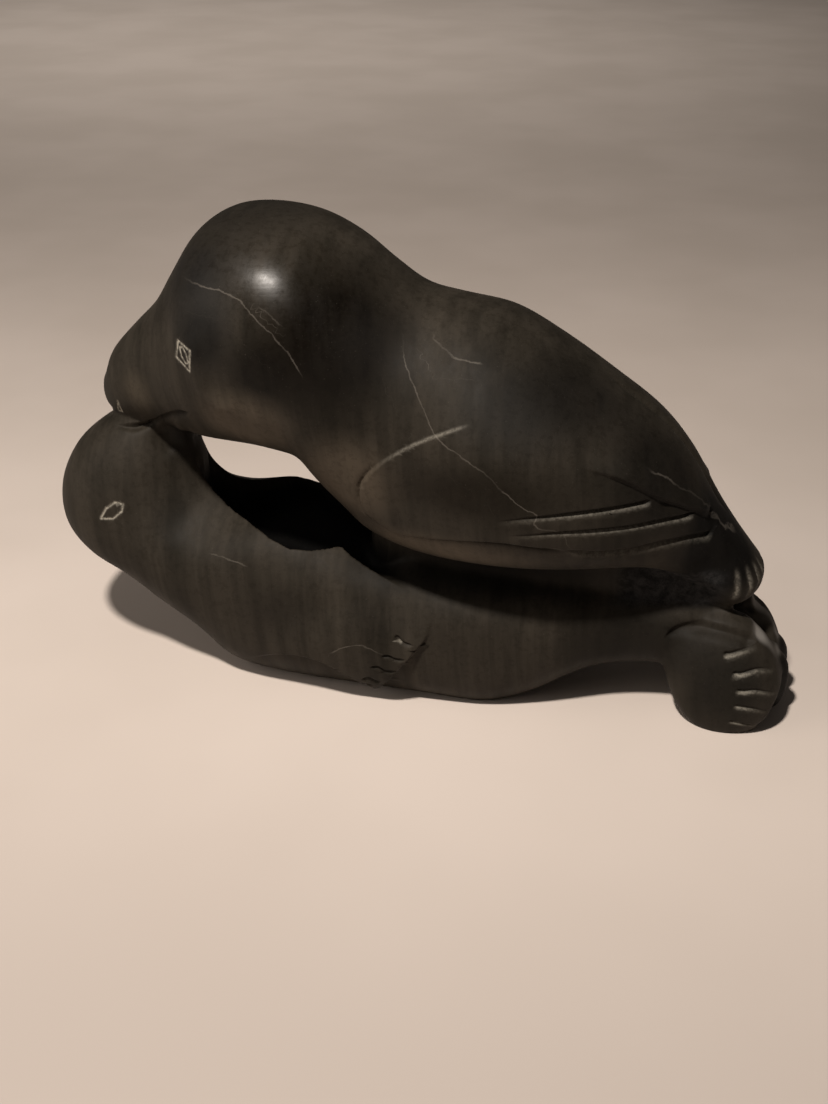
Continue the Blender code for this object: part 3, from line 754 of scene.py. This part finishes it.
def cut_tail_toes(skin):
    """Upright grooves round the back of the upper seal's tail."""
    width, depth = TAIL_TOE_GROOVE
    radius = np.hypot(skin.x - TAIL_AXIS, skin.y)
    angle = np.degrees(np.arctan2(skin.away, skin.x - TAIL_AXIS))
    reach = within(skin.z, TAIL_TOE_FOOT, TAIL_TOE_HEAD) * ease(radius, *TAIL_TOE_RADII)
    reach *= skin.x > TAIL_AXIS
    for toe in TAIL_TOES:
        stroke = bell(radius * np.radians(angle - toe), width) * reach
        skin.height -= depth * stroke
        skin.pale_and_highlight = np.maximum(skin.pale_and_highlight, TAIL_TOE_PALE * stroke)


def cut_back(skin):
    """The groove down the upper seal's back."""
    width, depth = BACK_GROOVE
    back = (skin.normals[:, 2] > 0) & (skin.z > BACK_LOW)
    skin.height -= depth * bell(skin.y, width) * within(skin.x, BACK_GROOVE_START, BACK_GROOVE_END) * back


def hollow_throat(skin, moved):
    """Sink the throat's hollow into the moved points, and mark the painted shade in it."""
    rim = hollow_rim(skin.x)
    share = within(skin.x, HOLLOW_START, HOLLOW_END)
    floor = (skin.normals[:, 2] > HOLLOW_FACING) & (skin.z < HOLLOW_TOP) & (skin.away < rim)
    wall = 1 - (skin.away / rim) ** HOLLOW_WALL
    moved[:, 2] -= np.where(floor, HOLLOW_DEPTH * share * wall, 0)
    # Painted shade, darker inwards from the hollow's rim
    skin.painted_shade = np.maximum(skin.painted_shade, floor * ease(rim - skin.away, *HOLLOW_PAINTED_SHADE_SPAN) * share)


def roughen(skin):
    """Mark the stone left rough between the tails."""
    upright = within(skin.x, ROUGH_START, ROUGH_END) * within(skin.z, ROUGH_FOOT, ROUGH_HEAD)
    skin.rough = upright * (1 - ease(skin.away, *ROUGH_SIDE))


def carved(points, corners):
    """Cut all carving into the skin. Returns the points and the masks the stone is coloured by."""
    skin = Skin(points, corners)
    for carve in (cut_lines, cut_eyes, trace_veins, raise_wing, raise_flipper, fold_faces, step_palm,
                  cut_tail_toes, cut_back, roughen):
        carve(skin)
    moved = points + skin.normals * skin.height[:, None]
    hollow_throat(skin, moved)
    moved[:, 2] = np.maximum(moved[:, 2], 0)
    return moved, skin.masks()


def fitted(points):
    """From drawn units to the frame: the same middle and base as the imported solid, just inside its box."""
    low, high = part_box(NODE)
    size = np.array(high - low)
    drawn_low, drawn_high = points.min(axis=0), points.max(axis=0)
    scale = (size / (drawn_high - drawn_low)).min()
    middle = (drawn_low + drawn_high) / 2
    middle[2] = drawn_low[2]
    target = np.array(((low.x + high.x) / 2, (low.y + high.y) / 2, low.z))
    return (points - middle) * scale + target, scale, target - middle * scale


def carving_object():
    """The finished mesh in the frame, with the scale and shift that bring drawn units there."""
    points, corners = refined(*blended_mesh())
    points = relaxed(points, corners)
    points, masks = carved(points, corners)
    points, scale, shift = fitted(points)
    mesh = bpy.data.meshes.new("stone_seal_carving_polished")
    mesh.vertices.add(len(points))
    mesh.vertices.foreach_set("co", points.ravel())
    mesh.loops.add(3 * len(corners))
    mesh.loops.foreach_set("vertex_index", corners.ravel())
    mesh.polygons.add(len(corners))
    mesh.polygons.foreach_set("loop_start", np.arange(len(corners)) * 3)
    mesh.update(calc_edges=True)
    for name, values in masks.items():
        layer = mesh.attributes.new(name, "FLOAT", "POINT")
        layer.data.foreach_set("value", values.astype(np.float32))
    mesh.validate()
    mesh.shade_smooth()
    carving = bpy.data.objects.new("stone_seal_carving_polished", mesh)
    bpy.context.scene.collection.objects.link(carving)
    return carving, scale, shift


# Stone. Colours are base colours, red, green and blue

DARK_STONE = (0.0095, 0.0078, 0.0050)
LIGHT_STONE = (0.0420, 0.0350, 0.0265)
# Shares of upright streaks, of broader bands and of clouds in the tone between those two
STREAK_SHARE = 0.36
BAND_SHARE = 0.40
CLOUD_SHARE = 0.26

# Soft patches, each a stretched ball: its middle and reach in drawn units, strength and colour.
# Two painted sheens, cool painted highlights on the head and the back, come first, then lighter and
# darker areas of the near side, among them a painted reflection and a painted shade, which the streaks
# weaken to STREAK_DEPTH of their strength at most, then the painted shade over the tail
PAINTED_SHEENS = [
    ((-74, -36, 162), (26, 22, 26), 0.45, (0.0140, 0.0150, 0.0165)),
    ((34, -38, 136), (34, 26, 22), 0.35, (0.026, 0.027, 0.027)),
]
TINTS = [
    ((-84, -30, 178), (36, 32, 26), 1.2, (0.0100, 0.0090, 0.0080)),
    ((-76, -44, 158), (17, 16, 18), 1.4, (0.0060, 0.0052, 0.0042)),
    ((-52, -44, 148), (22, 18, 20), 1.4, (0.0045, 0.0036, 0.0024)),
    ((-26, -40, 160), (40, 50, 44), 1.4, (0.0030, 0.0018, 0.0007)),
    ((-70, 0, 192), (46, 44, 20), 1.2, (0.0110, 0.0092, 0.0070)),
    ((-100, -12, 101), (11, 16, 15), 1.2, (0.0050, 0.0042, 0.0032)),
    ((28, -46, 108), (46, 24, 18), 1.3, (0.0085, 0.0062, 0.0034)),
    ((92, -28, 112), (36, 32, 36), 1.5, (0.0060, 0.0048, 0.0034)),
    ((60, -26, 140), (60, 36, 20), 1.3, (0.0080, 0.0066, 0.0050)),
    ((-58, -34, 40), (22, 24, 18), 0.8, (0.0140, 0.0115, 0.0085)),
    ((88, -20, 34), (44, 26, 24), 1.5, (0.0090, 0.0075, 0.0054)),
    ((124, -22, 22), (26, 26, 28), 1.4, (0.0095, 0.0082, 0.0062)),
    # Painted reflection of the pale floor, lightening the upper seal's lower flank
    ((0, -46, 79), (70, 20, 14), 1.4, (0.0850, 0.0690, 0.0510)),
    ((-24, -42, 106), (26, 26, 26), 1.5, (0.0720, 0.0570, 0.0410)),
    ((-62, -38, 126), (26, 28, 20), 1.7, (0.0800, 0.0650, 0.0480)),
    ((-112, -16, 124), (12, 24, 14), 1.2, (0.0600, 0.0490, 0.0350)),
    # Painted shade in the groove under the upper seal, where the two animals meet
    ((36, -28, 60), (84, 30, 13), 1.7, (0.0012, 0.0010, 0.0008)),
]
STREAK_DEPTH = 0.72
# Painted shade over the upper seal's tail, in the hollow behind its fore flipper's tip
TAIL_PAINTED_SHADE = ((115, -14, 80), (30, 30, 36), 2.0, (0.0025, 0.0020, 0.0015))
# Brightest polished patch, on the upper seal's head and shoulder, and how much smoother it is
HANDLED = ((-54, -30, 172), (52, 40, 40), 0.43)

# Colour of the painted shade in the throat's hollow and on the palm's step
PAINTED_SHADE_COLOR = (0.0006, 0.0005, 0.0004)
DARK_SPECKS = (0.55, 0.52, 0.47)
LIGHT_SPECKS = (0.16, 0.145, 0.12)
LIGHT_SPECK_SHARE = 0.16
VEIN_SHADE = (0.19, 0.17, 0.145)
VEIN_STRENGTH = 0.32
# Distances across a vein between which it fades, and how far it wanders, in drawn units
VEIN_THREAD = (0.08, 0.36)
VEIN_WANDER = 2.6
# Pale of the cut stone, also the colour of the painted highlights on the wing's crest and the cuts' lips
PALE_CUT_AND_HIGHLIGHT = (0.40, 0.37, 0.31)
CHIP_SHADE = (0.27, 0.255, 0.235)
RUBBLE_DARK = (0.007, 0.007, 0.007)
RUBBLE_LIGHT = (0.026, 0.025, 0.025)

# Roughness of the polish where it is least and most worn, and what specks, cuts and rubble add
POLISH = (0.56, 0.66)
SPECK_DULL = 0.06
CUT_DULL = 0.3
RUBBLE_DULL = 0.4
STONE_SPECULAR = 0.14

# Heights of the finest relief in metres
SPECK_RELIEF = 0.00003
SCRATCH_RELIEF = 0.00002
RUBBLE_RELIEF = 0.0012
BUMP_STRENGTH = 0.6


class Nodes:
    """Short calls for building a material's node tree."""

    def __init__(self, name):
        self.material = bpy.data.materials.new(name)
        self.material.use_nodes = True
        self.tree = self.material.node_tree
        self.shader = self.tree.nodes["Principled BSDF"]

    def add(self, kind, **settings):
        node = self.tree.nodes.new(kind)
        for key, value in settings.items():
            setattr(node, key, value)
        return node

    def link(self, source, target):
        """A colour or number is set on the socket, and a node's output is linked to it."""
        if isinstance(source, tuple):
            target.default_value = (*source, 1)
        elif isinstance(source, (int, float)):
            target.default_value = source
        else:
            self.tree.links.new(source, target)

    def math(self, operation, one, two=None, clamp=False):
        node = self.add("ShaderNodeMath", operation=operation, use_clamp=clamp)
        self.link(one, node.inputs[0])
        if two is not None:
            self.link(two, node.inputs[1])
        return node.outputs[0]

    def plus(self, one, two, clamp=False):
        return self.math("ADD", one, two, clamp)

    def times(self, one, two, clamp=False):
        return self.math("MULTIPLY", one, two, clamp)

    def mapped(self, source, scale=(1, 1, 1), turn=(0, 0, 0), move=(0, 0, 0)):
        node = self.add("ShaderNodeMapping")
        self.link(source, node.inputs["Vector"])
        node.inputs["Scale"].default_value = scale
        node.inputs["Rotation"].default_value = tuple(math.radians(part) for part in turn)
        node.inputs["Location"].default_value = move
        return node.outputs[0]

    def noise(self, source, scale=1.0, detail=4.0, rough=0.55, warp=0.0):
        node = self.add("ShaderNodeTexNoise")
        self.link(source, node.inputs["Vector"])
        node.inputs["Scale"].default_value = scale
        node.inputs["Detail"].default_value = detail
        node.inputs["Roughness"].default_value = rough
        node.inputs["Distortion"].default_value = warp
        return node.outputs["Fac"]

    def span(self, source, low, high, to_low=0.0, to_high=1.0):
        node = self.add("ShaderNodeMapRange", interpolation_type="SMOOTHSTEP")
        self.link(source, node.inputs["Value"])
        node.inputs["From Min"].default_value = low
        node.inputs["From Max"].default_value = high
        node.inputs["To Min"].default_value = to_low
        node.inputs["To Max"].default_value = to_high
        return node.outputs[0]

    def mix(self, share, one, two, blend="MIX"):
        node = self.add("ShaderNodeMix", data_type="RGBA", blend_type=blend)
        self.link(share, node.inputs["Factor"])
        self.link(one, node.inputs["A"])
        self.link(two, node.inputs["B"])
        return node.outputs["Result"]

    def mask(self, name):
        node = self.add("ShaderNodeAttribute", attribute_name=name, attribute_type="GEOMETRY")
        return node.outputs["Fac"]

    def ball(self, source, centre, radius):
        """1 in the middle of a stretched ball, 0 at its rim."""
        moved = self.add("ShaderNodeVectorMath", operation="SUBTRACT")
        self.link(source, moved.inputs[0])
        moved.inputs[1].default_value = centre
        shrunk = self.add("ShaderNodeVectorMath", operation="DIVIDE")
        self.link(moved.outputs[0], shrunk.inputs[0])
        shrunk.inputs[1].default_value = radius
        length = self.add("ShaderNodeVectorMath", operation="LENGTH")
        self.link(shrunk.outputs[0], length.inputs[0])
        return self.span(length.outputs["Value"], 0.0, 1.0, 1.0, 0.0)


class Stone:
    """Dark brown-black stone, polished, with upright streaks, fine mottling and pale veins."""

    def __init__(self, scale, shift):
        self.scale = scale
        self.shift = shift
        self.nodes = n = Nodes("dark_polished_stone")
        self.where = n.add("ShaderNodeTexCoord").outputs["Object"]
        lean = n.mapped(self.where, turn=(0, 5, 0))
        self.streaks = n.noise(n.mapped(lean, scale=(190, 60, 9)), rough=0.6, warp=0.2)
        self.bands = n.noise(n.mapped(lean, scale=(48, 16, 4), move=(3.1, 0, 1.7)), detail=3.0, warp=0.3)
        self.clouds = n.noise(self.where, 32, rough=0.6, warp=0.3)
        self.mottle = n.noise(self.where, 420, rough=0.7)
        crumble = n.span(n.noise(self.where, 700, 3.0, 0.7), 0.35, 0.62, 0.35, 1.0)
        # Pale cut stone together with the painted highlights on the wing's crest and on the cut lines' lower
        # lips
        self.cuts = n.times(n.mask("pale_and_highlight"), crumble)
        self.rubble = n.mask("rough")

    def patch(self, centre, size):
        """A soft ball, given in drawn units, in the object's own space."""
        centre = tuple(np.array(centre) * self.scale + self.shift)
        size = tuple(np.array(size, dtype=float) * self.scale)
        return self.nodes.ball(self.where, centre, size)

    def tone(self):
        """The stone's colour with its lighter and darker areas, and painted sheens, reflection and shade."""
        n = self.nodes
        tone = n.plus(n.times(n.span(self.streaks, 0.34, 0.68), STREAK_SHARE),
                      n.times(n.span(self.bands, 0.3, 0.72), BAND_SHARE))
        tone = n.plus(tone, n.times(n.span(self.clouds, 0.28, 0.72), CLOUD_SHARE))
        color = n.mix(tone, DARK_STONE, LIGHT_STONE)
        # Painted sheens: cool painted highlights on the head and the back
        for centre, size, share, shade in PAINTED_SHEENS:
            color = n.mix(n.times(self.patch(centre, size), share), color, shade)
        for centre, size, share, shade in TINTS:
            streaked = n.span(self.streaks, 0.3, 0.7, STREAK_DEPTH, 1.0)
            patch = n.times(n.times(self.patch(centre, size), share, clamp=True), streaked)
            color = n.mix(patch, color, shade)
        # Painted shade over the tail
        centre, size, share, shade = TAIL_PAINTED_SHADE
        color = n.mix(n.times(self.patch(centre, size), share, clamp=True), color, shade)
        # Painted shade in the throat's hollow and on the palm's step
        return n.mix(n.mask("painted_shade"), color, PAINTED_SHADE_COLOR)

    def speckled(self, color):
        n = self.nodes
        dark = n.mix(n.span(self.mottle, 0.36, 0.52, 0.55, 1.0), DARK_SPECKS, (1, 1, 1))
        color = n.mix(1.0, color, dark, "MULTIPLY")
        grain = n.noise(self.where, 1500, 2.0, 0.6)
        return n.mix(n.times(n.span(grain, 0.66, 0.8), LIGHT_SPECK_SHARE), color, LIGHT_SPECKS)

    def veined(self, color):
        """A thread that wanders about each vein's line and fades here and there."""
        n = self.nodes
        bend = n.math("SUBTRACT", n.noise(self.where, 130, rough=0.7), 0.5)
        away = n.math("ABSOLUTE", n.plus(n.mask("vein_away"), n.times(bend, VEIN_WANDER)))
        thread = n.span(away, *VEIN_THREAD, 1.0, 0.0)
        fading = n.span(n.noise(self.where, 90, 3.0, 0.6), 0.36, 0.6, 0.25, 1.0)
        vein = n.times(n.times(thread, n.mask("vein")), n.times(fading, VEIN_STRENGTH))
        return n.mix(vein, color, VEIN_SHADE)

    def marked(self, color):
        """Pale cuts with their painted highlights, the chip, and the rubble between the tails."""
        n = self.nodes
        color = n.mix(self.cuts, color, PALE_CUT_AND_HIGHLIGHT)
        color = n.mix(n.mask("chip"), color, CHIP_SHADE)
        rubble = n.mix(n.span(n.noise(self.where, 260, 5.0, 0.75), 0.35, 0.65), RUBBLE_DARK, RUBBLE_LIGHT)
        return n.mix(self.rubble, color, rubble)

    def roughness(self):
        n = self.nodes
        wear = n.noise(n.mapped(self.where, scale=(120, 120, 18), turn=(0, 12, 0)), rough=0.65)
        dull = n.plus(n.span(wear, 0.3, 0.7, *POLISH), n.times(n.span(self.mottle, 0.3, 0.7), SPECK_DULL))
        centre, size, share = HANDLED
        dull = n.math("SUBTRACT", dull, n.times(self.patch(centre, size), share))
        dull = n.plus(dull, n.times(self.cuts, CUT_DULL))
        return n.plus(dull, n.times(self.rubble, RUBBLE_DULL), clamp=True)

    def relief(self):
        n = self.nodes
        scored = n.mapped(self.where, scale=(60, 60, 1400), turn=(20, 35, 0))
        scratches = n.noise(scored, detail=2.0, rough=0.5)
        height = n.plus(n.times(self.mottle, SPECK_RELIEF), n.times(scratches, SCRATCH_RELIEF))
        lumps = n.times(self.rubble, n.noise(self.where, 300, 5.0, 0.7))
        height = n.plus(height, n.times(lumps, RUBBLE_RELIEF))
        bump = n.add("ShaderNodeBump")
        bump.inputs["Strength"].default_value = BUMP_STRENGTH
        bump.inputs["Distance"].default_value = 1.0
        n.link(height, bump.inputs["Height"])
        return bump.outputs[0]

    def material(self):
        n = self.nodes
        n.link(self.marked(self.veined(self.speckled(self.tone()))), n.shader.inputs["Base Color"])
        n.link(self.roughness(), n.shader.inputs["Roughness"])
        n.shader.inputs["Specular IOR Level"].default_value = STONE_SPECULAR
        n.link(self.relief(), n.shader.inputs["Normal"])
        return n.material


# Setting: lengths in metres, places of lamps and camera in drawn units

FLOOR_SIZE = 6.0
FLOOR_DARK = (0.66, 0.58, 0.52)
FLOOR_LIGHT = (0.72, 0.635, 0.575)
# Towards the camera the floor turns to this colour between these y
FLOOR_FRONT = (0.52, 0.455, 0.41)
FLOOR_FRONT_SPAN = (-0.24, -0.02)

# Place, size, power in watts and colour of the two lamps, and the point they are aimed at
LAMPS = {
    "key": ((-125, -400, 900), 0.07, 9.6, (1.0, 0.92, 0.84)),
    "fill": ((-900, -500, 500), 0.9, 3.0, (1.0, 0.91, 0.82)),
}
LAMP_AIM = (0, 0, 0.05)

# Spot on the floor far behind the carving, all in metres
SPOT_PLACE = (-0.9, 1.45, 2.0)
SPOT_AIM = (-0.7, 1.9, 0)
SPOT_POWER = 75.0
SPOT_COLOR = (1.0, 0.94, 0.87)
SPOT_ANGLE = 84
SPOT_SIZE = 0.3

ROOM_COLOR = (1.0, 0.90, 0.82, 1)
ROOM_LIGHT = 0.05

# Camera: off the side view towards the tails and down, in degrees, then sensor and lens in mm
CAMERA_TURN = 12
CAMERA_PITCH = 31
CAMERA_PLACE = (84.3, -430.5, 317.1)
SENSOR = 36
LENS = 40


def floor_material():
    """Plain pale floor with a faint unevenness of tone."""
    n = Nodes("pale_floor")
    where = n.add("ShaderNodeTexCoord").outputs["Object"]
    tone = n.noise(where, 6, 3.0, 0.5)
    color = n.mix(n.span(tone, 0.3, 0.7), FLOOR_DARK, FLOOR_LIGHT)
    along = n.add("ShaderNodeSeparateXYZ")
    n.link(where, along.inputs[0])
    front = n.span(along.outputs["Y"], *FLOOR_FRONT_SPAN, 1.0, 0.0)
    n.link(n.mix(front, color, FLOOR_FRONT), n.shader.inputs["Base Color"])
    n.shader.inputs["Roughness"].default_value = 0.9
    n.shader.inputs["Specular IOR Level"].default_value = 0.15
    return n.material


def floor():
    bpy.ops.mesh.primitive_plane_add(size=FLOOR_SIZE)
    plane = bpy.context.object
    plane.name = "floor"
    plane.data.materials.append(floor_material())


def aimed(name, lamp, place, target):
    """A light at a place, turned towards its target."""
    light = bpy.data.objects.new(name, lamp)
    light.location = place
    light.rotation_euler = (Vector(target) - Vector(place)).to_track_quat("-Z", "Y").to_euler()
    bpy.context.scene.collection.objects.link(light)


def lights(scale, shift):
    """Two soft lamps on the carving, and a spot that lifts the far floor."""
    for name, (place, size, power, color) in LAMPS.items():
        lamp = bpy.data.lights.new(name, "AREA")
        lamp.shape = "DISK"
        lamp.size = size
        lamp.energy = power
        lamp.color = color
        aimed(name, lamp, np.array(place) * scale + shift, LAMP_AIM)
    spot = bpy.data.lights.new("far_floor", "SPOT")
    spot.energy = SPOT_POWER
    spot.color = SPOT_COLOR
    spot.spot_size = math.radians(SPOT_ANGLE)
    spot.spot_blend = 1.0
    spot.shadow_soft_size = SPOT_SIZE
    aimed("far_floor", spot, SPOT_PLACE, SPOT_AIM)


def room():
    world = bpy.data.worlds.new("room")
    bpy.context.scene.world = world
    world.use_nodes = True
    backdrop = world.node_tree.nodes["Background"]
    backdrop.inputs[0].default_value = ROOM_COLOR
    backdrop.inputs[1].default_value = ROOM_LIGHT
    bpy.context.scene.view_settings.view_transform = "Standard"


def camera(scale, shift):
    view = bpy.data.cameras.new("camera")
    view.sensor_fit = "VERTICAL"
    view.sensor_height = SENSOR
    view.sensor_width = SENSOR
    view.lens = LENS
    eye = bpy.data.objects.new("camera", view)
    turn, pitch = math.radians(CAMERA_TURN), math.radians(CAMERA_PITCH)
    look = Vector((-math.sin(turn) * math.cos(pitch), math.cos(turn) * math.cos(pitch), -math.sin(pitch)))
    eye.location = np.array(CAMERA_PLACE) * scale + shift
    eye.rotation_euler = look.to_track_quat("-Z", "Y").to_euler()
    bpy.context.scene.collection.objects.link(eye)
    bpy.context.scene.camera = eye


carving, scale, shift = carving_object()
carving.data.materials.append(Stone(scale, shift).material())
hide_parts(NODE)
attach(carving, "root")
floor()
lights(scale, shift)
room()
camera(scale, shift)
